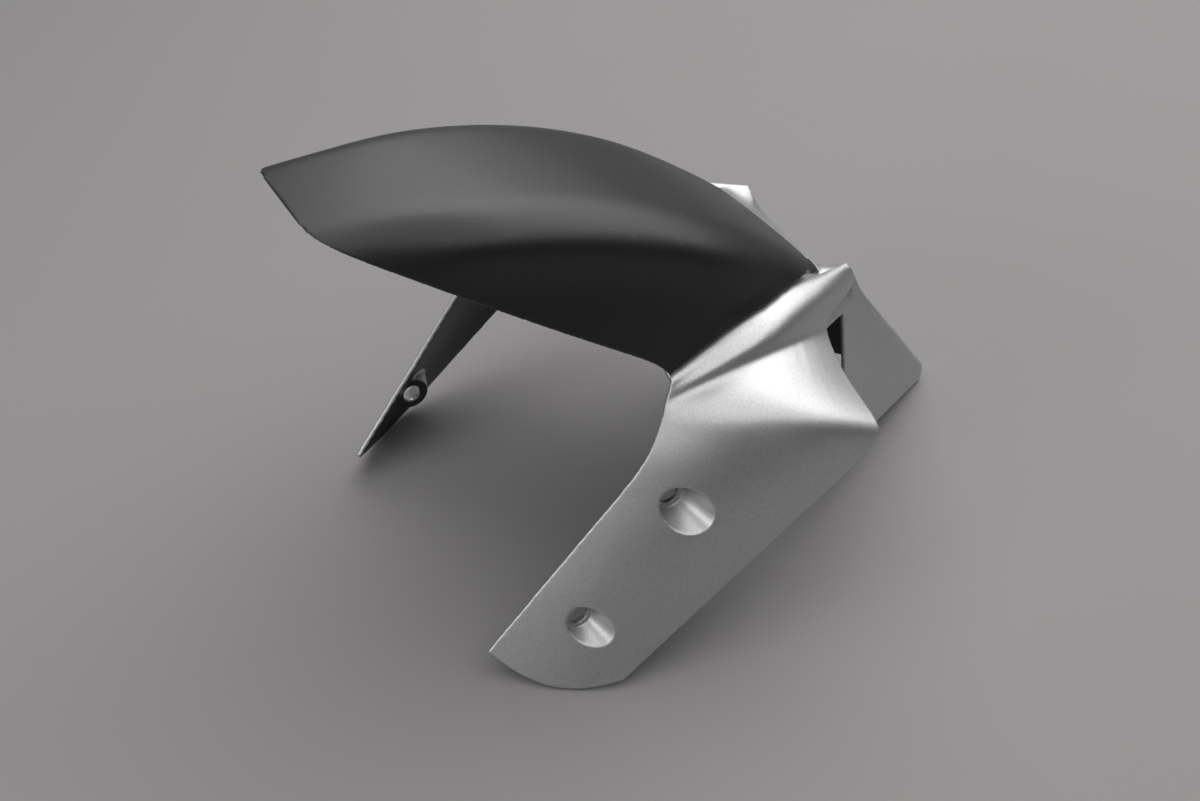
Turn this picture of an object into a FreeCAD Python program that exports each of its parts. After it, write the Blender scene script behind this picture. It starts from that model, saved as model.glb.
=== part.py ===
"""Front mudguard of a motorbike, standing on its two legs and its tail, nose towards -Y.

A matt front panel is screwed from below to a one-piece rear body, which carries the tail,
the roofs over the fork legs and the two legs with their bolt wells. Millimetres, +Z up.
Sizes are set about the wheel's axle, and the finished pieces are then moved together so
that the whole stands on Z = 0 with its middle at the origin.
"""
import FreeCAD, Part
import math
import os
from FreeCAD import Vector

# Mouldings
WALL = 2.6
FIT = 0.3
SEAM = 0.9

# Wheel that the front panel's crest runs round, and the height of the crest
CREST_TOP = 215.0
CREST_RADIUS = 326.0
AXLE_Y = -23.0
AXLE_Z = CREST_TOP - CREST_RADIUS

# Front panel: its length and its section across the crest
REAR_Y = 187.0
PANEL_LENGTH = 227.0
NOSE_Y = REAR_Y - PANEL_LENGTH
NOSE_HALF_WIDTH = 35.0
PANEL_HALF_WIDTH = 50.5
FRONT_CROWN = 1.2
REAR_CROWN = 2.2
WALL_FLARE = 0.34
WALL_REACH = 90.0
SHOULDER = 0.27
OVERRUN = 20.0
STATIONS = 7

# Front panel: its cut edges in side view, as drops below the crest
EDGE_LENGTH = 93.0
CHIN_LENGTH = 15.0
REAR_DROP = 3.3
CORNER_DROP = 67.3
CHIN_DROP = 59.6
EDGE_ARCH = 6.5
LIP_HEIGHT = 10.0
LIP_FLARE = 3.0
CORNER_Y = REAR_Y - EDGE_LENGTH
CHIN_Y = CORNER_Y - CHIN_LENGTH

# Flange of the rear body, which passes under the front panel's rear edge
RIM = 3.0
FLANGE_WIDTH = 15.0
SIDE_FLANGE_DEPTH = WALL + 2 * FIT
TOP_FLANGE_DEPTH = SIDE_FLANGE_DEPTH + WALL / 4

# Tail: its ridges run round the wheel and close to a tip, with a crease and a lower edge below
HORN_REACH = 20.0
HORN_LIFT = 7.0
HORN_ROOT = (Vector(-3.1, 0, -2.5), Vector(-2.3, 0, -1.7), Vector(-1.5, 0, -1))
RIDGE_HALF_WIDTH = 42.5
RIDGE_SINK = 0.5
RIDGE_FULLNESS = 1.8
TIP_ANGLE = math.radians(70.0)
TIP_HALF_WIDTH = 4.0
TIP_LIFT = 22.0
TIP_FLICK = 2.6
TIP_DEPTH = 6.0
TIP_CROWN = 2.0
SADDLE_DIP = 6.0
CREASE_SPREAD = 10.5
CREASE_DROP = 49.0
SKIRT_SPREAD = 18.5
SKIRT_DROP = 88.0
TAIL_ROWS = 6
PASSAGE_DROP = 30.0
PASSAGE_SET_BACK = 16.0
RIDGE_Y = REAR_Y + HORN_REACH

# Fork cover: its character lines, as steps away from the seam's front end, middle and horn,
# in shares of the seam's length
ROOF_LINES = (
    (Vector(0.011, -0.016, -0.027), Vector(0.065, -0.048, -0.028), Vector(0.032, 0.065, -0.129)),
    (Vector(0.022, -0.032, -0.048), Vector(0.122, -0.088, -0.066), Vector(0.151, -0.215, -0.151)),
    (Vector(0.032, -0.048, -0.07), Vector(0.134, -0.097, -0.124), Vector(0.183, -0.247, -0.183)),
    (Vector(0.043, -0.065, -0.091), Vector(0.172, -0.118, -0.145), Vector(0.237, -0.28, -0.204)),
    (Vector(0.054, -0.075, -0.108), Vector(0.323, -0.204, -0.161), Vector(0.516, -0.371, -0.247)),
    (Vector(0.075, -0.102, -0.14), Vector(0.462, -0.247, -0.215), Vector(0.801, -0.387, -0.29)),
    (Vector(0.097, -0.134, -0.183), Vector(0.495, -0.29, -0.29), Vector(0.839, -0.409, -0.366)),
)
MIDDLE_SHARE = 0.6
COLUMNS = 7

# Legs: their feet in shares of the seam's length, how far they bulge, and the heights of the
# rows between roof and foot
FOOT = (Vector(0.806, 0, 0.151), Vector(1.086, 0.258, 0.016), Vector(1.21, 0.505, 0.065))
LEG_BULGE = (7.0, 4.0, 0.0)
LEG_ROWS = (0.2, 0.5, 0.8, 1.0)
KNEE = (1.4, 1.0, 1.0)

# Bolt wells in the legs; the lower one's place above the foot is in shares of their spacing
WELL_RISE = Vector(0.178, 0.561, 0.245)
WELL_SPACING = 67.4
WELL_DEPTH = 13.0
WELL_MOUTH_RADIUS = 9.6
WELL_FLOOR_RADIUS = 6.2
BOLT_HOLE_RADIUS = 4.5

# Screws through the flange into the front panel's bosses
SCREW_RADIUS = 1.75
SCREW_LENGTH = 4.4
SCREW_HEAD_RADIUS = 5.0
SCREW_HEAD_HEIGHT = 2.2
SCREW_SLOT = 0.9
BOSS_RADIUS = 3.4
TOP_SCREW_SHARE = 0.5
SIDE_SCREW_SHARE = 0.2
SCREW_INSET = 8.0

X = Vector(1, 0, 0)
UP = Vector(0, 0, 1)
FAR = 2 * PANEL_LENGTH


def clamped_knots(count, degree):
    """Multiplicities and knots of a clamped uniform spline with this many poles."""
    spans = count - degree
    mults = [degree + 1] + [1] * (spans - 1) + [degree + 1]
    return mults, [i / spans for i in range(spans + 1)]


def greville(count, degree):
    """Parameter that belongs to each pole of such a spline."""
    mults, knots = clamped_knots(count, degree)
    flat = [k for k, m in zip(knots, mults) for _ in range(m)]
    return [sum(flat[i + 1:i + degree + 1]) / degree for i in range(count)]


def skin(net):
    """Smooth surface drawn by a net of poles."""
    degree = 3
    um, uk = clamped_knots(len(net), degree)
    vm, vk = clamped_knots(len(net[0]), degree)
    surface = Part.BSplineSurface()
    surface.buildFromPolesMultsKnots(net, um, vm, uk, vk, False, False, degree, degree)
    return surface


def inset(net, depth):
    """The same net moved inwards along the surface's normals."""
    surface = skin(net)
    us = greville(len(net), surface.UDegree)
    vs = greville(len(net[0]), surface.VDegree)
    return [[pole - surface.normal(u, v) * depth for pole, v in zip(row, vs)]
            for row, u in zip(net, us)]


def between(outer_net, inner_net):
    """Solid wall between the surfaces of two nets."""
    outer = skin(outer_net)
    inner = skin(inner_net)
    faces = [outer.toShape(), inner.toShape()]
    for at in (0, 1):
        faces.append(Part.makeRuledSurface(outer.uIso(at).toShape(), inner.uIso(at).toShape()))
        faces.append(Part.makeRuledSurface(outer.vIso(at).toShape(), inner.vIso(at).toShape()))
    shell = Part.Shell(faces)
    shell.sewShape()
    solid = Part.Solid(shell)
    if solid.Volume < 0:
        solid.reverse()
    return solid


def plate(net, start, end):
    """Solid wall between two depths below a net's surface."""
    return between(inset(net, start), inset(net, end))


def blend(a, b, share):
    return a + (b - a) * share


def solve(function, target, low, high):
    """Parameter between low and high where a steadily changing function meets its target."""
    rising = function(high) > function(low)
    for _ in range(50):
        middle = (low + high) / 2
        if (function(middle) < target) == rising:
            low = middle
        else:
            high = middle
    return (low + high) / 2


def mirror_row(half):
    """A full row of poles from its half, which starts at the centre; +X side first."""
    return list(reversed(half)) + [Vector(-p.x, p.y, p.z) for p in half[1:]]


def both_sides(shape):
    return [shape, shape.mirror(Vector(0, 0, 0), X)]


def around(radius, y):
    """Height at this Y of a circle about the wheel's axle."""
    return AXLE_Z + math.sqrt(radius ** 2 - (y - AXLE_Y) ** 2)


def crest(y):
    """Height of the front panel's crest."""
    return around(CREST_RADIUS, y)


def panel_row(y):
    """Poles of the front panel's section: crest, crown, shoulder, wall and the wall's foot."""
    share = min(1.0, max(0.0, (y - NOSE_Y) / PANEL_LENGTH))
    top = crest(y)
    crown = blend(FRONT_CROWN, REAR_CROWN, share)
    width = blend(NOSE_HALF_WIDTH, PANEL_HALF_WIDTH, math.sin(math.pi / 2 * share))
    turn = SHOULDER * WALL_REACH
    half = [
        Vector(0, y, top),
        Vector(0.55 * width, y, top - 0.2 * crown),
        Vector(width, y, top - crown),
        Vector(width + turn * WALL_FLARE, y, top - crown - turn),
        Vector(width + WALL_REACH * WALL_FLARE, y, top - crown - WALL_REACH),
    ]
    return mirror_row(half)


def panel_net():
    """Net of the front panel, run on past its nose and its rear edge."""
    start = NOSE_Y - OVERRUN
    step = (REAR_Y + OVERRUN - start) / (STATIONS - 1)
    return [panel_row(start + i * step) for i in range(STATIONS)]


def on_panel(y, depth, x=None, z=None):
    """Point and outward normal at a depth under the front panel's +X half, by its X or Z."""
    surface = skin(panel_net())
    u = solve(lambda s: surface.value(s, 0.5).y, y, 0, 1)
    if z is None:
        v = solve(lambda s: surface.value(u, s).x, x, 0, 0.5)
    else:
        v = solve(lambda s: surface.value(u, s).z, z, 0, 0.5)
    normal = surface.normal(u, v)
    return surface.value(u, v) - normal * depth, normal


def beside_panel(y, z, offset):
    """Point at this Y and Z, an offset outside the front panel's +X wall."""
    normal = on_panel(y, 0, z=z)[1]
    return on_panel(y, -offset, z=z - normal.z * offset)[0]


def side_edge():
    """Poles of the side wall's rear edge in side view."""
    first = Vector(0, CORNER_Y, crest(CORNER_Y) - CORNER_DROP)
    last = Vector(0, REAR_Y, crest(REAR_Y) - REAR_DROP)
    return [first, blend(first, last, 0.5) + UP * 2 * EDGE_ARCH, last]


def edge_height(y):
    """Height of the front panel's rear edge along its side wall."""
    first, _, last = side_edge()
    share = (y - CORNER_Y) / EDGE_LENGTH
    return blend(first.z, last.z, share) + 4 * EDGE_ARCH * share * (1 - share)


def lip_flare(y):
    """How far the side wall's rear edge turns outwards; it fades at both ends."""
    share = (y - CORNER_Y) / EDGE_LENGTH
    return LIP_FLARE * (1 - (2 * share - 1) ** 4)


def line(a, b):
    return Part.LineSegment(a, b)


def bezier(*poles):
    curve = Part.BezierCurve()
    curve.setPoles(list(poles))
    return curve


def polygon(points):
    return [line(a, b) for a, b in zip(points, points[1:] + points[:1])]


def side_cut(edges):
    """Block through the whole width, over a closed side view."""
    face = Part.Face(Part.Wire([edge.toShape() for edge in edges]))
    face.translate(X * -FAR)
    return face.extrude(X * 2 * FAR)


def panel_outline():
    """Side view that the front panel is cut to."""
    nose = Vector(0, NOSE_Y, crest(NOSE_Y))
    chin = Vector(0, CHIN_Y, crest(CHIN_Y) - CHIN_DROP)
    ahead = blend(chin, nose, 1.2)
    hook = blend(nose, chin, 1.1)
    edge = side_edge()
    top_rear = Vector(0, REAR_Y, FAR)
    top_front = Vector(0, ahead.y, FAR)
    return side_cut([
        line(ahead, chin),
        bezier(chin, hook, edge[0]),
        bezier(*edge),
        line(edge[-1], top_rear),
        line(top_rear, top_front),
        line(top_front, ahead),
    ])


def screw_seats():
    """Points of the front panel's skin over the left screws, with normals and flange depths."""
    side_y = CORNER_Y + SIDE_SCREW_SHARE * EDGE_LENGTH
    top = on_panel(REAR_Y - SCREW_INSET, 0, x=TOP_SCREW_SHARE * PANEL_HALF_WIDTH)
    side = on_panel(side_y, 0, z=edge_height(side_y) + SCREW_INSET)
    return [top + (TOP_FLANGE_DEPTH,), side + (SIDE_FLANGE_DEPTH,)]


def pin(radius, seat, start, end):
    """Round pin between two depths under the front panel's skin."""
    point, normal, _ = seat
    return Part.makeCylinder(radius, end - start, point - normal * start, -normal)


def lip_row(share, top, bottom):
    """Poles along the lip at a share of its height, with offsets for its top and its full flare."""
    row = []
    for i in range(COLUMNS):
        y = blend(CORNER_Y, REAR_Y - LIP_HEIGHT, i / (COLUMNS - 1))
        z = edge_height(y) + blend(LIP_HEIGHT, -RIM, share)
        row.append(beside_panel(y, z, blend(top, bottom * lip_flare(y), share ** 2)))
    return row


def lip():
    """Lip that thickens outwards along the left side wall's rear edge, rooted in the wall."""
    shares = (0, 0.35, 0.7, 1)
    outer = [lip_row(share, -WALL / 4, 1) for share in shares]
    inner = [lip_row(share, -WALL / 2, 0) for share in shares]
    return between(outer, inner)


def front_panel():
    """Front panel with its flared lips, and the bosses that its screws bite into."""
    outline = panel_outline()
    shape = plate(panel_net(), 0, WALL).common(outline)
    shape = shape.fuse(both_sides(lip().common(outline)))
    for seat in screw_seats():
        end = seat[-1] + WALL
        boss = pin(BOSS_RADIUS, seat, WALL / 2, end)
        pilot = pin(SCREW_RADIUS + FIT / 3, seat, end - SCREW_LENGTH, end + WALL)
        shape = shape.fuse(both_sides(boss)).cut(both_sides(pilot))
    return shape


def panel_screws():
    """Pan-head screws with a cross in the head, seated on the flange from below."""
    reach = 0.7 * SCREW_HEAD_RADIUS
    screws = []
    for seat in screw_seats():
        point, normal, depth = seat
        top = depth + WALL + FIT / 2
        bottom = top + SCREW_HEAD_HEIGHT
        shank = pin(SCREW_RADIUS, seat, top - SCREW_LENGTH + FIT, top + FIT)
        head = Part.makeCone(SCREW_HEAD_RADIUS, reach, SCREW_HEAD_HEIGHT, point - normal * top, -normal)
        corner = Vector(-reach / 2, -SCREW_SLOT / 2, -SCREW_HEAD_HEIGHT)
        slot = Part.makeBox(reach, SCREW_SLOT, 1.5 * SCREW_HEAD_HEIGHT, corner)
        cross = slot.fuse(slot.rotated(Vector(0, 0, 0), UP, 90))
        turn = FreeCAD.Rotation(UP, normal)
        cross.Placement = FreeCAD.Placement(point - normal * bottom, turn)
        screws += both_sides(shank.fuse(head).cut(cross).removeSplitter())
    return Part.Compound([solid for screw in screws for solid in screw.Solids])


def screw_holes():
    """Clearance for the front panel's bosses, with a flat spot face under each screw's head."""
    holes = []
    for seat in screw_seats():
        face = seat[-1] + WALL
        hole = pin(BOSS_RADIUS + FIT, seat, 0, face + WALL)
        spot = pin(SCREW_HEAD_RADIUS + FIT, seat, face, face + 3 * WALL)
        holes += both_sides(hole.fuse(spot))
    return holes


def tail_row(ridge, crease, skirt, dip):
    """Poles across the tail: centre, top, both sides of the ridge, crease and lower edge."""
    half = [
        Vector(0, ridge.y, ridge.z - dip),
        Vector(0.6 * ridge.x, ridge.y, ridge.z - 0.8 * dip),
        ridge + Vector(-0.06 * ridge.x, 0, 0.2 * WALL),
        ridge + Vector(0.03 * ridge.x, 0, -1.15 * WALL),
        crease,
        skirt,
    ]
    return mirror_row(half)


def tail_ridge(share):
    """Ridge of the tail, from the fork cover's horn round the wheel to the tip."""
    start = CREST_RADIUS - RIDGE_SINK
    radius = blend(start, start + TIP_LIFT, share ** TIP_FLICK)
    angle = blend(math.asin((RIDGE_Y - AXLE_Y) / start), TIP_ANGLE, share)
    x = blend(RIDGE_HALF_WIDTH, TIP_HALF_WIDTH, share ** RIDGE_FULLNESS)
    return Vector(x, AXLE_Y + radius * math.sin(angle), AXLE_Z + radius * math.cos(angle))


def tail():
    """Saddle behind the front panel and the pointed tail, in one wall."""
    passage_top = crest(REAR_Y) - REAR_DROP - PASSAGE_DROP
    start = REAR_Y - FLANGE_WIDTH
    rows = []
    for y in (start, REAR_Y - SEAM):
        middle = on_panel(y, TOP_FLANGE_DEPTH, x=FIT)[0]
        shoulder = on_panel(y, TOP_FLANGE_DEPTH, z=middle.z - 3 * WALL)[0]
        crease = on_panel(y, TOP_FLANGE_DEPTH, z=passage_top - WALL)[0]
        skirt = on_panel(y, TOP_FLANGE_DEPTH, z=passage_top - 12 * WALL)[0]
        rows.append(tail_row(shoulder, crease, skirt, shoulder.z - middle.z))
    root, tip = tail_ridge(0), tail_ridge(1)
    for i in range(TAIL_ROWS):
        share = i / (TAIL_ROWS - 1)
        crease = blend(root + Vector(CREASE_SPREAD, -WALL, -CREASE_DROP),
                       tip + Vector(WALL, -WALL, -TIP_DEPTH) / 2, share)
        skirt = blend(root + Vector(SKIRT_SPREAD, -WALL, -SKIRT_DROP),
                      tip + Vector(WALL, -WALL, -TIP_DEPTH), share)
        dip = blend(SADDLE_DIP, -TIP_CROWN, math.sqrt(share))
        rows.append(tail_row(tail_ridge(share), crease, skirt, dip))
    back = REAR_Y + PASSAGE_SET_BACK
    keep = side_cut(polygon([
        Vector(0, start - RIM, passage_top),
        Vector(0, back, passage_top),
        Vector(0, back, -FAR),
        Vector(0, FAR, -FAR),
        Vector(0, FAR, FAR),
        Vector(0, start - RIM, FAR),
    ]))
    shape = plate(rows, 0, WALL).common(keep)
    return shape.cut(screw_holes())


def horn():
    """Rear end of the seam's ridge, a little proud of the tail."""
    return Vector(RIDGE_HALF_WIDTH - WALL / 2, RIDGE_Y, around(CREST_RADIUS + HORN_LIFT, RIDGE_Y))


def seam_ridge(share):
    """Point of the fork cover's ridge, just outside the front panel's lip."""
    y = CORNER_Y + share * EDGE_LENGTH
    return beside_panel(y, edge_height(y) - SEAM - RIM / 4, lip_flare(y) + 0.1 * WALL)


def flange_point(share, rise):
    """Point of the side flange under the front panel, a rise above its edge that shrinks rearwards."""
    y = CORNER_Y + share * EDGE_LENGTH
    return beside_panel(y, edge_height(y) + blend(rise, rise / 4, share), -SIDE_FLANGE_DEPTH)


def cover_lines():
    """Front, middle and rear points of each line from the roof down to the foot."""
    bases = (seam_ridge(0), seam_ridge(MIDDLE_SHARE), horn())
    lines = []
    for steps in ROOF_LINES:
        lines.append([base + step * EDGE_LENGTH for base, step in zip(bases, steps)])
    fold = lines[-1]
    for share in LEG_ROWS:
        points = []
        for top, foot, bulge, knee in zip(fold, FOOT, LEG_BULGE, KNEE):
            point = blend(top, foot * EDGE_LENGTH, share ** knee)
            points.append(point + X * bulge * (1 - share))
        lines.append(points)
    return lines


def cover_net():
    """Net of the left fork cover, from its root in the rim over the roof and down the leg."""
    shares = [i / (COLUMNS - 2) for i in range(COLUMNS - 2)]
    ridge = [seam_ridge(share) for share in shares]
    rises = (FLANGE_WIDTH, RIM, -SEAM - 2 * FIT)
    rows = [[flange_point(share, rise) for share in shares] for rise in rises]
    for point in (blend(ridge[-1], horn(), 0.5), horn()):
        ridge.append(point)
        for row, step in zip(rows, HORN_ROOT):
            row.append(point + step * WALL)
    rows.append(ridge)
    for points in cover_lines():
        arc = Part.BSplineCurve()
        arc.interpolate(points)
        span = arc.LastParameter - arc.FirstParameter
        rows.append([arc.value(arc.FirstParameter + span * i / (COLUMNS - 1)) for i in range(COLUMNS)])
    return rows


def well_centres():
    """Where the wells' axes meet the wells' end faces, lower one first."""
    foot = FOOT[0] * EDGE_LENGTH
    along = cover_lines()[len(ROOF_LINES) - 1][0] - foot
    along.x = 0
    along.normalize()
    lower = foot + WELL_RISE * WELL_SPACING
    return [lower, lower + along * WELL_SPACING]


def cone(centre, start, length, radius, taper):
    """Cone along X about a well's axis, from a distance past the well's end face."""
    return Part.makeCone(radius, radius + length * taper, length, centre + X * start, X)


def cover():
    """Left fork cover and leg, with its bolt wells."""
    net = cover_net()
    shape = plate(net, 0, WALL).cut(screw_holes()[2:3])
    middle = skin(inset(net, WALL / 2))
    middle.segment(0.45, 1, 0, 1)
    inside = middle.toShape().extrude(X * -FAR / 4)
    taper = (WELL_MOUTH_RADIUS - WELL_FLOOR_RADIUS) / (WELL_DEPTH - WALL)
    reach = 4 * WELL_DEPTH
    for centre in well_centres():
        boss = cone(centre, 0, reach, WELL_FLOOR_RADIUS + WALL, taper)
        shape = shape.fuse(boss.common(inside))
    for centre in well_centres():
        recess = cone(centre, WALL, reach, WELL_FLOOR_RADIUS, taper)
        hole = Part.makeCylinder(BOLT_HOLE_RADIUS, FAR, centre - X * WELL_DEPTH, X)
        shape = shape.cut([recess, hole])
    return shape


def settle(pieces):
    """Move all pieces together, onto Z = 0 with the middle of the whole over the origin."""
    whole = Part.Compound(list(pieces.values()))
    whole.tessellate(FIT)
    box = whole.BoundBox
    for shape in pieces.values():
        shape.translate(Vector(-box.Center.x, -box.Center.y, -box.ZMin))
    return box


def main():
    pieces = {
        "front_panel": front_panel(),
        "rear_body": tail().fuse(both_sides(cover())),
        "panel_screws": panel_screws(),
    }
    box = settle(pieces)
    print("moved by", -box.Center.y, -box.ZMin)
    os.makedirs("parts", exist_ok=True)
    for name, shape in pieces.items():
        print(name, shape.isValid(), len(shape.Solids), round(shape.Volume))
        shape.exportStep("parts/" + name + ".step")


main()
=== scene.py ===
# %% [markdown]
# # A motorbike's front mudguard, dressed for its portrait
# The mudguard stands on a studio floor on its two legs and its tail. A matt black panel
# arches over the wheel, and a silver body behind it carries the tail and the two legs that
# bolt to the fork. The shapes come from an engineering model that fits the real bolts and
# the real wheel, so this lesson never moves or resizes them. It gives them the soft edges of
# mouldings, their two finishes, a floor, light and a camera.

# %% Load the model and note its size
import math

import bmesh
import bpy
import numpy as np
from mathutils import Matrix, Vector
from mathutils.bvhtree import BVHTree


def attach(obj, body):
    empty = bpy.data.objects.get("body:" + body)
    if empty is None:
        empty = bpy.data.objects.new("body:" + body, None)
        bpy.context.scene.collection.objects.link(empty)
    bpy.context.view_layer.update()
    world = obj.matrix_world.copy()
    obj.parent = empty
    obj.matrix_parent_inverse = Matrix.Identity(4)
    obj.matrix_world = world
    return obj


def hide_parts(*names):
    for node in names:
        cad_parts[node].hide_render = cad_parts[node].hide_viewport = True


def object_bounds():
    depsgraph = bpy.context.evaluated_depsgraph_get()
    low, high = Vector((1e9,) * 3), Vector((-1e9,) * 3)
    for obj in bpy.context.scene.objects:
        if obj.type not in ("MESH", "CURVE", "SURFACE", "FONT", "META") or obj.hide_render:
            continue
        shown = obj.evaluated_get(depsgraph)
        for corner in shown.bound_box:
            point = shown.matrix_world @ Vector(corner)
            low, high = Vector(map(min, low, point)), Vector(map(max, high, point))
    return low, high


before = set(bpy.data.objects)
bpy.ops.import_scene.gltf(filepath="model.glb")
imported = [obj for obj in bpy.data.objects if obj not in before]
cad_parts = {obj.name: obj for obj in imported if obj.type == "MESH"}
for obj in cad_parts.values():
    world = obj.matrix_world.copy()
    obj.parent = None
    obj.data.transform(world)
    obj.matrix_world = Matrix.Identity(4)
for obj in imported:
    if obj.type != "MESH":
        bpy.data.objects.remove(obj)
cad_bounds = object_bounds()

MM = 0.001
low, high = (Vector(corner) for corner in cad_bounds)
print("nodes:", sorted(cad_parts))
print("size in mm:", [round(side / MM, 1) for side in high - low])

# %% [markdown]
# ## A helper for wiring shader nodes
# Every finish below is a small chain of nodes. Wiring them by hand takes a line for each
# node, each value and each link, so one helper makes a node, fills in its sockets and links
# whatever arrives from another node. The chains then read like sentences.

# %% A helper for shader nodes
def add_node(tree, kind, sockets=None, **settings):
    """Adds a node; a socket's value is a plain value or another node's output."""
    node = tree.nodes.new(kind)
    for name, value in settings.items():
        setattr(node, name, value)
    for name, value in (sockets or {}).items():
        if isinstance(value, bpy.types.NodeSocket):
            tree.links.new(value, node.inputs[name])
        else:
            node.inputs[name].default_value = value
    return node


def new_finish(name, **surface):
    """A material with one Principled surface; sockets that are the same all over are set here."""
    material = bpy.data.materials.new(name)
    material.use_nodes = True
    shader = material.node_tree.nodes["Principled BSDF"]
    for socket, value in surface.items():
        shader.inputs[socket.replace("_", " ")].default_value = value
    return material, material.node_tree, shader


print("helpers ready")

# %% [markdown]
# ## Grain and drift
# Two noises do most of the work on moulded plastic. A fine one, smaller than a millimetre,
# stands for the grain of the mould or the flakes in the paint. A broad one, several
# centimetres wide, is the slow drift that handling leaves. Both read object coordinates,
# because those stay with the part and are in metres, so a scale of 1000 means detail of
# about one millimetre.

# %% Noises in object coordinates
def noise(tree, size, detail=2.0):
    """Noise whose features are about this many metres wide."""
    place = add_node(tree, "ShaderNodeTexCoord").outputs["Object"]
    sockets = {"Vector": place, "Scale": 1.0 / size, "Detail": detail}
    return add_node(tree, "ShaderNodeTexNoise", sockets).outputs["Fac"]


def spread(tree, fac, start, end, below=0.35, above=0.65):
    """Stretches a noise's middle stretch over a range of values."""
    sockets = {"Value": fac, "From Min": below, "From Max": above, "To Min": start, "To Max": end}
    return add_node(tree, "ShaderNodeMapRange", sockets).outputs["Result"]


def tint(tree, fac, first, second):
    """A colour between two, by a factor; each is three numbers or another node's output."""
    mix = add_node(tree, "ShaderNodeMix", {"Factor": fac}, data_type="RGBA")
    ends = [socket for socket in mix.inputs if socket.type == "RGBA"]
    for socket, colour in zip(ends, (first, second)):
        if isinstance(colour, bpy.types.NodeSocket):
            tree.links.new(colour, socket)
        else:
            socket.default_value = (*colour, 1.0)
    return next(socket for socket in mix.outputs if socket.type == "RGBA")


print("noises ready")

# %% [markdown]
# ## Tiny dents
# Grain and uneven spray are real dents, far too small for the mesh. A bump node leaves the
# mesh alone and only tilts the light's idea of the surface, which is enough at this size.

# %% A helper for bump
DENT_DEPTH = 0.05 * MM


def dent(tree, shader, height, strength):
    sockets = {"Height": height, "Strength": strength, "Distance": DENT_DEPTH}
    bump = add_node(tree, "ShaderNodeBump", sockets)
    tree.links.new(bump.outputs["Normal"], shader.inputs["Normal"])


print("dents are", DENT_DEPTH / MM, "mm deep at full strength")

# %% [markdown]
# ## Matt black, as it leaves the mould
# The front panel isn't painted: its plastic is black all through, and the mould was eroded
# with a fine grain that breaks up reflections. So the colour barely varies, and the look is
# in the roughness and in a shallow bump. Sharp edges are a little paler: a painted highlight
# for the light that the rounded lips of the moulding catch. Pointiness finds them: it is 0.5
# on flat places and higher on sharp outer edges.

# %% Matt black finish
BLACK = (0.009, 0.0085, 0.0085)
# the paler black is a painted highlight for sharp edges
BLACK_EDGE_HIGHLIGHT = (0.03, 0.029, 0.0285)
GRAIN, GRAIN_STRENGTH = 0.45 * MM, 0.25
HANDLING = 60 * MM
EDGE_HIGHLIGHT_START, EDGE_HIGHLIGHT_FULL = 0.505, 0.56


def matt_black():
    material, tree, shader = new_finish(
        "matt_black", Specular_IOR_Level=0.5, Sheen_Weight=0.1, Sheen_Roughness=0.35)
    edge = add_node(tree, "ShaderNodeNewGeometry").outputs["Pointiness"]
    # painted highlight: sharp outer edges get the paler black, where the rounded lips catch the
    # light
    edge_highlight = spread(tree, edge, 0.0, 1.0, below=EDGE_HIGHLIGHT_START, above=EDGE_HIGHLIGHT_FULL)
    tree.links.new(tint(tree, edge_highlight, BLACK, BLACK_EDGE_HIGHLIGHT), shader.inputs["Base Color"])
    drift = noise(tree, HANDLING)
    tree.links.new(spread(tree, drift, 0.38, 0.43), shader.inputs["Roughness"])
    dent(tree, shader, noise(tree, GRAIN, detail=3.0), GRAIN_STRENGTH)
    return material


black_finish = matt_black()
print("made", black_finish.name, "with", len(black_finish.node_tree.nodes), "nodes")

# %% [markdown]
# ## Satin silver paint over dark plastic
# The rear body is sprayed from outside only, and its inner side shows the dark plastic. The
# paint is a clear film full of tiny aluminium flakes that lie almost flat, so it is mostly
# metallic with a broad soft gleam, and each flake tips a little differently. A cell texture
# gives every flake its own shade, and the faint unevenness of the spray is a bump much wider
# than the flakes. Where the paint ends could be two materials split face by face, but spray
# fades as it turns an edge. So one material mixes paint and plastic by a value, `bare`, that
# the mesh will carry at each of its points.

# %% Satin silver finish
SILVER = (0.44, 0.44, 0.445)
SILVER_BRIGHT = (0.56, 0.56, 0.565)
BARE_PLASTIC = (0.02, 0.0195, 0.019)
FLAKE = 0.35 * MM
SPRAY_DRIFT = 45 * MM
PEEL, PEEL_STRENGTH = 2.5 * MM, 0.06
PAINT_METALLIC = 0.9
BARE = "bare"


def flakes(tree, size):
    """A random shade for each cell of a fine cell texture."""
    place = add_node(tree, "ShaderNodeTexCoord").outputs["Object"]
    cells = add_node(tree, "ShaderNodeTexVoronoi", {"Vector": place, "Scale": 1.0 / size})
    parts = add_node(tree, "ShaderNodeSeparateColor", {"Color": cells.outputs["Color"]})
    return parts.outputs["Red"]


def satin_silver():
    material, tree, shader = new_finish("satin_silver")
    bare = add_node(tree, "ShaderNodeAttribute", attribute_name=BARE).outputs["Fac"]
    paint = tint(tree, flakes(tree, FLAKE), SILVER, SILVER_BRIGHT)
    tree.links.new(tint(tree, bare, paint, BARE_PLASTIC), shader.inputs["Base Color"])
    metallic = spread(tree, bare, PAINT_METALLIC, 0.0, below=0.0, above=1.0)
    tree.links.new(metallic, shader.inputs["Metallic"])
    drift = noise(tree, SPRAY_DRIFT)
    tree.links.new(spread(tree, drift, 0.4, 0.46), shader.inputs["Roughness"])
    dent(tree, shader, noise(tree, PEEL, detail=1.0), PEEL_STRENGTH)
    return material


silver_finish = satin_silver()
print("made", silver_finish.name, "with", len(silver_finish.node_tree.nodes), "nodes")

# %% [markdown]
# ## Zinc on the hidden screws
# The screws sit under the panel, where a mechanic sees them first. Their zinc plating is a
# yellowish grey metal, cloudy rather than clean, so one noise moves both its colour and its
# roughness.

# %% Zinc finish
ZINC = (0.42, 0.41, 0.38)
ZINC_CLOUDED = (0.55, 0.55, 0.53)
CLOUD = 2 * MM


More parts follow.
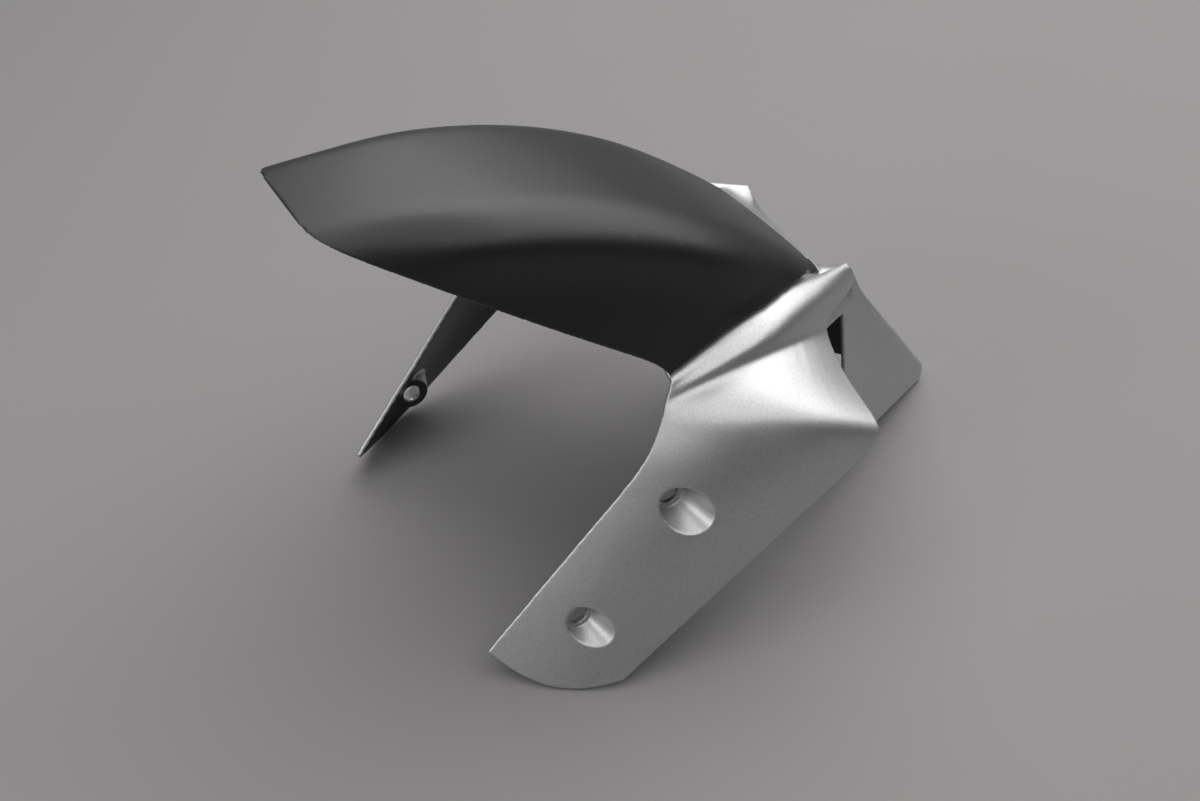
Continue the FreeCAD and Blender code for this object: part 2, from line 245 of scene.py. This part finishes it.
def zinc():
    material, tree, shader = new_finish("zinc", Metallic=1.0)
    cloud = noise(tree, CLOUD, detail=4.0)
    colour = tint(tree, spread(tree, cloud, 0.0, 1.0), ZINC, ZINC_CLOUDED)
    tree.links.new(colour, shader.inputs["Base Color"])
    tree.links.new(spread(tree, cloud, 0.3, 0.5), shader.inputs["Roughness"])
    return material


zinc_finish = zinc()
print("made", zinc_finish.name, "with", len(zinc_finish.node_tree.nodes), "nodes")

# %% [markdown]
# ## The saddle between the horns
# Behind the panel's rear edge the body rises to a horn on each side. The model has a narrow
# valley between each horn and the tail, where on the real part the skin runs across. Such a
# bridge could be pulled up by hand, face by face. Here a sheet is stretched over the model
# instead, and its first step is a grid of points that drop onto the model from above. The
# sheet is as wide as the horns and, behind them, as the tail. Heights are counted from the
# circle about the wheel's axle that the panel's crest follows, because along that circle the
# sheet is nearly flat.

# %% Drop a grid onto the saddle
AXLE_Y = -0.1556
AXLE_Z = -0.1117
CREST_RADIUS = 0.326
SHEET_Y = np.array((56.4, 70, 78, 85, 106)) * MM
SHEET_HALF_WIDTH = np.array((43, 42.6, 43.2, 41.2, 35.8)) * MM
ROWS, COLUMNS = 60, 96
DEEPEST = -16 * MM
SKY = 1.0
DOWN = Vector((0.0, 0.0, -1.0))


def drop_grid(net):
    """Grid of places over the saddle, and the model's height above the crest's circle there."""
    model = BVHTree.FromBMesh(net)
    rows = np.linspace(SHEET_Y[0], SHEET_Y[-1], ROWS)
    across = np.linspace(-1.0, 1.0, COLUMNS)
    x = np.outer(np.interp(rows, SHEET_Y, SHEET_HALF_WIDTH), across)
    y = np.repeat(rows[:, None], COLUMNS, axis=1)
    lift = np.full(x.shape, DEEPEST)
    for place in np.ndindex(x.shape):
        hit = model.ray_cast(Vector((x[place], y[place], SKY)), DOWN)[0]
        if hit:
            height = math.hypot(hit.y - AXLE_Y, hit.z - AXLE_Z) - CREST_RADIUS
            lift[place] = max(DEEPEST, height)
    return x, y, lift


print("the sheet has", ROWS * COLUMNS, "points")

# %% [markdown]
# ### Pulling the sheet tight
# Every point that lies lower than the mean of its four neighbours rises to that mean, again
# and again, as a stretched cloth would. Some points are held on the model: the rear row, and
# both sides as far back as the horns. Behind the horns the sides are free, so they run
# straight from each horn to the tail's ridge.

# %% Stretch the sheet
HORN_END = 74 * MM
PULLS = 500


def held_points(y):
    held = np.zeros(y.shape, dtype=bool)
    held[:, 0] = held[:, -1] = y[:, 0] < HORN_END
    held[-1] = True
    return held


def stretch(lift, held):
    """Raises low points to the mean of their neighbours; held points stay on the model."""
    sheet = lift.copy()
    for _ in range(PULLS):
        wide = np.pad(sheet, 1, mode="reflect")
        mean = (wide[:-2, 1:-1] + wide[2:, 1:-1] + wide[1:-1, :-2] + wide[1:-1, 2:]) / 4
        sheet = np.where(held, lift, np.maximum(lift, mean))
    return sheet


print("the sheet is pulled", PULLS, "times")

# %% [markdown]
# ### A sheet with a thickness
# The mesh is rebuilt from closed shapes further down, so the sheet gets an underside that
# lies inside the model's wall, and a rim that joins the two. Where the sheet touches the
# model, the rebuilding melts them together.

# %% Close the sheet
SHEET_DEPTH = 1.5 * MM


def add_layer(net, x, y, lift):
    z = AXLE_Z + np.sqrt((CREST_RADIUS + lift) ** 2 - (y - AXLE_Y) ** 2)
    return [[net.verts.new(point) for point in zip(*row)] for row in zip(x, y, z)]


def rim_of(layer):
    """The outer points of a grid, once round."""
    right = [row[-1] for row in layer[1:-1]]
    left = [row[0] for row in layer[-2:0:-1]]
    return layer[0] + right + layer[-1][::-1] + left


def close_sheet(net, top, under):
    for i in range(ROWS - 1):
        for j in range(COLUMNS - 1):
            net.faces.new((top[i][j], top[i][j + 1], top[i + 1][j + 1], top[i + 1][j]))
            net.faces.new((under[i][j], under[i + 1][j], under[i + 1][j + 1], under[i][j + 1]))
    upper, lower = rim_of(top), rim_of(under)
    for i in range(len(upper)):
        net.faces.new((upper[i - 1], lower[i - 1], lower[i], upper[i]))


def fill_saddle(mesh):
    net = bmesh.new()
    net.from_mesh(mesh)
    x, y, lift = drop_grid(net)
    sheet = stretch(lift, held_points(y))
    close_sheet(net, add_layer(net, x, y, sheet), add_layer(net, x, y, lift - SHEET_DEPTH))
    net.to_mesh(mesh)
    net.free()
    print("the sheet rises by at most", round((sheet - lift).max() / MM, 1), "mm")


print("the sheet's rim has", 2 * (ROWS + COLUMNS) - 4, "points")

# %% [markdown]
# ## Soft edges for the two mouldings
# No mould gives a knife edge, and the light along rounded edges is what makes plastic look
# like plastic. The model's edges are sharp. A bevel could round them, but it needs clean
# loops of faces, and a trimmed surface has slivers instead. So each moulding is rebuilt:
# a copy is turned into an even net of small squares by the Remesh modifier, and a few rounds
# of smoothing pull the edges round while broad surfaces hardly move. The net is far finer
# than flat places need, so a last modifier thins it out.

# %% Rebuild a mesh with soft edges
NET = 0.5 * MM
SMOOTHING, SMOOTHING_ROUNDS = 0.5, 10
KEPT_FACES = 0.35


def rebuild(piece):
    remesh = piece.modifiers.new("even_net", "REMESH")
    remesh.mode = "VOXEL"
    remesh.voxel_size = NET
    smooth = piece.modifiers.new("soft_edges", "SMOOTH")
    smooth.factor = SMOOTHING
    smooth.iterations = SMOOTHING_ROUNDS
    thin = piece.modifiers.new("thin_out", "DECIMATE")
    thin.ratio = KEPT_FACES
    graph = bpy.context.evaluated_depsgraph_get()
    piece.data = bpy.data.meshes.new_from_object(piece.evaluated_get(graph))
    piece.modifiers.clear()
    piece.data.polygons.foreach_set("use_smooth", [True] * len(piece.data.polygons))


print("net of", NET / MM, "mm")

# %% [markdown]
# ### The mouldings take their places
# The rebuilt copy stands in for the original, which is hidden but stays in the scene. The
# rebuilt copy stands in for the original, which stays as the solid that physics uses. The
# copy rides on the root body.

# %% Make the two mouldings
def soft_moulding(name, node, finish, filling=None):
    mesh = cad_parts[node].data.copy()
    if filling:
        filling(mesh)
    piece = bpy.data.objects.new(name, mesh)
    bpy.context.scene.collection.objects.link(piece)
    rebuild(piece)
    piece.data.materials.clear()
    piece.data.materials.append(finish)
    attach(piece, "root")
    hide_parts(node)
    print(name, "has", len(piece.data.polygons), "faces")
    return piece


panel = soft_moulding("panel_skin", "front_panel", black_finish)
body = soft_moulding("body_skin", "rear_body", silver_finish, fill_saddle)

# %% [markdown]
# ## A little sculpting
# The panel's shoulders carry the long highlight, and they are a little fuller on the real
# mudguard than in the model. In sculpt mode that would be one stroke of a wide, soft brush.
# Here the brush is a weight for every point of the mesh, and each point moves by its weight
# times a push. The brush itself needs two soft curves: a step and a bell.

# %% A soft brush
MIDDLE_FADE = 10 * MM


def points_of(piece):
    places = np.empty(len(piece.data.vertices) * 3)
    piece.data.vertices.foreach_get("co", places)
    return places.reshape(-1, 3)


def soft_step(values, start, end):
    """Rises from 0 at start to 1 at end, without a kink at either."""
    share = np.clip((values - start) / (end - start), 0.0, 1.0)
    return share * share * (3.0 - 2.0 * share)


def bell(values, middle, width):
    return np.exp(-((values - middle) / width) ** 2)


def push_points(piece, weights, sideways, up):
    """Moves points outwards from the middle plane and upwards, by their weights."""
    places = points_of(piece)
    side = np.tanh(places[:, 0] / MIDDLE_FADE)
    places[:, 0] += weights * side * sideways
    places[:, 2] += weights * up
    piece.data.vertices.foreach_set("co", places.ravel())
    piece.data.update()
    furthest = weights.max() * math.hypot(sideways, up) / MM
    print(piece.name, "moved by at most", round(furthest, 1), "mm")


print("brush ready")

# %% [markdown]
# ### One stroke along each shoulder
# The shoulder is found by its depth below the crest's circle. The stroke fades out before
# the nose and before the seam, so nothing moves there.

# %% Fuller shoulders
SHOULDER_DEPTH, SHOULDER_SPREAD = 15 * MM, 10 * MM
NOSE_FADE = (-155 * MM, -100 * MM)
SEAM_FADE = (35 * MM, -15 * MM)
PUSH_OUT, PUSH_UP = 4 * MM, 2.5 * MM

x, y, z = points_of(panel).T
below_crest = CREST_RADIUS - np.hypot(y - AXLE_Y, z - AXLE_Z)
along = soft_step(y, *NOSE_FADE) * soft_step(y, *SEAM_FADE)
push_points(panel, along * bell(below_crest, SHOULDER_DEPTH, SHOULDER_SPREAD), PUSH_OUT, PUSH_UP)

# %% [markdown]
# ## Where the spray reached
# The spray came from outside, so a point is painted if its surface looks away from the wheel
# or away from the middle of the mudguard, as the walls of the bolt wells do. The wheel's axle
# lies below the floor and near the front: the crest of the panel runs round it. The test
# gives a soft step instead of a sharp one, and its result is stored on the mesh.

# %% Mark the bare inner side
WHEEL_FADE = (-0.1, -0.35)
MIDDLE_SIDE_FADE = (0.2, -0.1)


def mark_bare_side(piece):
    places = points_of(piece)
    normals = np.empty(places.size)
    piece.data.vertex_normals.foreach_get("vector", normals)
    normals = normals.reshape(-1, 3)
    away = places - np.array((0.0, AXLE_Y, AXLE_Z))
    away /= np.linalg.norm(away, axis=1, keepdims=True)
    from_wheel = (normals * away).sum(axis=1)
    from_middle = normals[:, 0] * np.sign(places[:, 0])
    bare = soft_step(from_wheel, *WHEEL_FADE) * soft_step(from_middle, *MIDDLE_SIDE_FADE)
    piece.data.attributes.new(BARE, "FLOAT", "POINT").data.foreach_set("value", bare)
    print(piece.name, "is bare over", round(100 * bare.mean()), "percent of its points")


mark_bare_side(body)

# %% [markdown]
# ## The screws keep their own mesh
# They are turned parts with true edges, so the model's own faces are right for them, and
# they only need their finish.

# %% Finish the screws
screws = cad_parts["panel_screws"]
screws.data.materials.clear()
screws.data.materials.append(zinc_finish)
print("finished", screws.name)

# %% [markdown]
# ## A plain studio floor
# The floor is one wide sheet of pale grey. It carries the shadow, which tells the eye that
# the legs and the tail stand on it. A trace of noise in its roughness keeps it from looking
# like a cut-out.

# %% Floor
FLOOR_SIZE = 12.0
FLOOR_GREY = (0.27, 0.262, 0.26)
PAPER_DRIFT = 200 * MM


def studio_floor():
    material, tree, shader = new_finish("floor_paper", Specular_IOR_Level=0.2)
    shader.inputs["Base Color"].default_value = (*FLOOR_GREY, 1.0)
    drift = noise(tree, PAPER_DRIFT)
    tree.links.new(spread(tree, drift, 0.75, 0.85), shader.inputs["Roughness"])
    net = bmesh.new()
    bmesh.ops.create_grid(net, x_segments=1, y_segments=1, size=FLOOR_SIZE / 2)
    mesh = bpy.data.meshes.new("studio_floor")
    net.to_mesh(mesh)
    net.free()
    mesh.materials.append(material)
    floor = bpy.data.objects.new("studio_floor", mesh)
    bpy.context.scene.collection.objects.link(floor)
    return floor


floor = studio_floor()
print("floor at height", floor.location.z)

# %% [markdown]
# ## Soft light from above and behind
# In the photograph the tops are brightest, the legs darken towards the tail, and the shadow
# is soft. One big soft box hangs above. A second one stands behind, on the far side, and
# puts the gleam on the panel and the roofs. A small one in front keeps the legs from going
# dull, and a dim white world fills the shadows.

# %% Soft boxes
def soft_box(name, place, aim, size, power):
    lamp = bpy.data.lights.new(name, "AREA")
    lamp.shape = "RECTANGLE"
    lamp.size, lamp.size_y = size
    lamp.energy = power
    box = bpy.data.objects.new(name, lamp)
    box.location = place
    box.rotation_euler = (Vector(aim) - Vector(place)).to_track_quat("-Z", "Y").to_euler()
    bpy.context.scene.collection.objects.link(box)


soft_box("overhead", place=(0.2, 0.05, 1.5), aim=(0.0, 0.0, 0.05), size=(2.6, 2.2), power=24.0)
soft_box("back", place=(-0.7, 1.1, 1.35), aim=(0.0, 0.0, 0.1), size=(2.8, 1.2), power=27.0)
soft_box("front_fill", place=(0.3, -1.5, 0.6), aim=(0.0, 0.0, 0.08), size=(1.0, 0.8), power=7.0)

# %% [markdown]
# ### World and view transform
# The Standard view transform shows a colour as it is written, so the finishes can be judged
# by their own values.

# %% World
WORLD_STRENGTH = 0.08

world = bpy.data.worlds.new("studio")
world.use_nodes = True
sky = world.node_tree.nodes["Background"]
sky.inputs["Color"].default_value = (1.0, 1.0, 1.0, 1.0)
sky.inputs["Strength"].default_value = WORLD_STRENGTH
bpy.context.scene.world = world
bpy.context.scene.view_settings.view_transform = "Standard"
print("world at strength", WORLD_STRENGTH)

# %% [markdown]
# ## The photograph's viewpoint
# The camera stands in front of the mudguard's left side and looks down at it. Its azimuth is
# counted from straight ahead of the nose, its elevation from the floor, and its distance
# from the point of the floor that the middle of the picture shows.

# %% Camera
AZIMUTH = math.radians(60.23)
ELEVATION = math.radians(39.0)
DISTANCE = 0.776
AIM = Vector((-0.0671, 0.0054, -0.001))
LENS = 42.55

back = Vector((
    math.sin(AZIMUTH) * math.cos(ELEVATION),
    -math.cos(AZIMUTH) * math.cos(ELEVATION),
    math.sin(ELEVATION),
))
view = bpy.data.cameras.new("photo_view")
view.lens = LENS
camera = bpy.data.objects.new("photo_view", view)
camera.location = AIM + back * DISTANCE
camera.rotation_euler = (-back).to_track_quat("-Z", "Y").to_euler()
bpy.context.scene.collection.objects.link(camera)
bpy.context.scene.camera = camera
print("camera at", [round(v, 3) for v in camera.location])

# %% Finish
print("scene ready")
